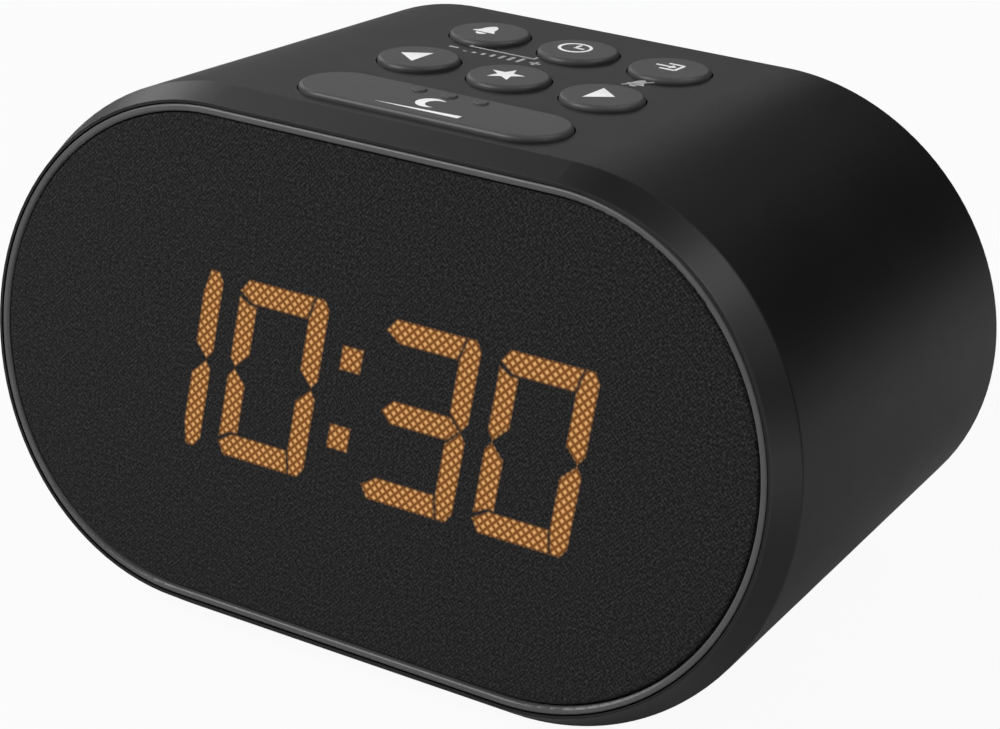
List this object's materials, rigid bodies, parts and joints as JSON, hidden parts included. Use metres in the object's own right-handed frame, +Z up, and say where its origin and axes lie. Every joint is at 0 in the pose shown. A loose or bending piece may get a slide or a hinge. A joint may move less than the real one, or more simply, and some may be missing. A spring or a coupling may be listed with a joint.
{
  "type": "bedside clock radio",
  "caption": "Bedside clock radio: stadium-shaped sleeve, cloth front over a segment display, round push keys and a long snooze bar on a sloping top.",
  "frame": {"origin": "on the table, under the middle of the bounding box", "axes": "+Z up, +Y to the back, +X to the right when facing the display"},
  "size_m": [0.167, 0.0989, 0.0965],
  "materials": {
    "housing_plastic": "soft-touch black, fine satin grain",
    "frame_plastic": "satin dark grey bead",
    "key_plastic": "satin dark grey",
    "cloth": "fine black twill speaker cloth",
    "inner_plastic": "black ABS",
    "amber_resin": "amber light-guide resin",
    "board": "green solder mask",
    "switch_plastic": "black",
    "steel": "zinc plated",
    "dark_steel": "black oxide",
    "tin": "tin plated",
    "socket_plastic": "black",
    "cover_plastic": "black, light grain",
    "rubber_feet": "matte rubber",
    "speaker_steel": "pressed steel",
    "speaker_paper": "paper pulp cone",
    "magnet": "nickel plated"
  },
  "bodies": {
    "clock_body": {"aux_socket": "socket_plastic", "backup_cell": "tin", "board_capacitors": "tin", "cell_contact": "steel", "cell_door": "housing_plastic", "cell_door_screw": "dark_steel", "display_board": "board", "display_reflector": "inner_plastic", "display_screws": "steel", "display_segments": "amber_resin", "fabric_cover": "cloth", "foot_front_left": "rubber_feet", "foot_front_right": "rubber_feet", "foot_rear_left": "rubber_feet", "foot_rear_right": "rubber_feet", "frame_screws": "steel", "front_frame": "frame_plastic", "grille_panel": "inner_plastic", "key_board": "board", "key_guide": "inner_plastic", "key_screws": "steel", "key_switches": "switch_plastic", "main_board": "board", "main_board_screws": "steel", "main_housing": "housing_plastic", "power_socket": "socket_plastic", "rear_cover": "cover_plastic", "rear_screws": "dark_steel", "speaker_basket_left": "speaker_steel", "speaker_basket_right": "speaker_steel", "speaker_cone_left": "speaker_paper", "speaker_cone_right": "speaker_paper", "speaker_magnet_left": "magnet", "speaker_magnet_right": "magnet", "speaker_screws": "steel", "tuner_shield": "tin", "usb_socket": "tin"},
    "previous_key_body": {"previous_key": "key_plastic", "previous_plunger": "switch_plastic"},
    "favourite_key_body": {"favourite_key": "key_plastic", "favourite_plunger": "switch_plastic"},
    "next_key_body": {"next_key": "key_plastic", "next_plunger": "switch_plastic"},
    "alarm_key_body": {"alarm_key": "key_plastic", "alarm_plunger": "switch_plastic"},
    "clock_key_body": {"clock_key": "key_plastic", "clock_plunger": "switch_plastic"},
    "source_key_body": {"source_key": "key_plastic", "source_plunger": "switch_plastic"},
    "snooze_body": {"snooze_bar": "key_plastic", "snooze_plungers": "switch_plastic"}
  },
  "joints": [
    {"name": "previous_press", "type": "slide", "parent": "clock_body", "child": "previous_key_body", "axis": [0, -0.0748, -0.9972], "range_m": [0, 0.0006], "stiffness_N_per_m": 1800, "springref_m": -0.0002},
    {"name": "favourite_press", "type": "slide", "parent": "clock_body", "child": "favourite_key_body", "axis": [0, -0.0748, -0.9972], "range_m": [0, 0.0006], "stiffness_N_per_m": 1800, "springref_m": -0.0002},
    {"name": "next_press", "type": "slide", "parent": "clock_body", "child": "next_key_body", "axis": [0, -0.0748, -0.9972], "range_m": [0, 0.0006], "stiffness_N_per_m": 1800, "springref_m": -0.0002},
    {"name": "alarm_press", "type": "slide", "parent": "clock_body", "child": "alarm_key_body", "axis": [0, -0.0748, -0.9972], "range_m": [0, 0.0006], "stiffness_N_per_m": 1800, "springref_m": -0.0002},
    {"name": "clock_press", "type": "slide", "parent": "clock_body", "child": "clock_key_body", "axis": [0, -0.0748, -0.9972], "range_m": [0, 0.0006], "stiffness_N_per_m": 1800, "springref_m": -0.0002},
    {"name": "source_press", "type": "slide", "parent": "clock_body", "child": "source_key_body", "axis": [0, -0.0748, -0.9972], "range_m": [0, 0.0006], "stiffness_N_per_m": 1800, "springref_m": -0.0002},
    {"name": "snooze_press", "type": "slide", "parent": "clock_body", "child": "snooze_body", "axis": [0, -0.0748, -0.9972], "range_m": [0, 0.0006], "stiffness_N_per_m": 2400, "springref_m": -0.0002}
  ]
}
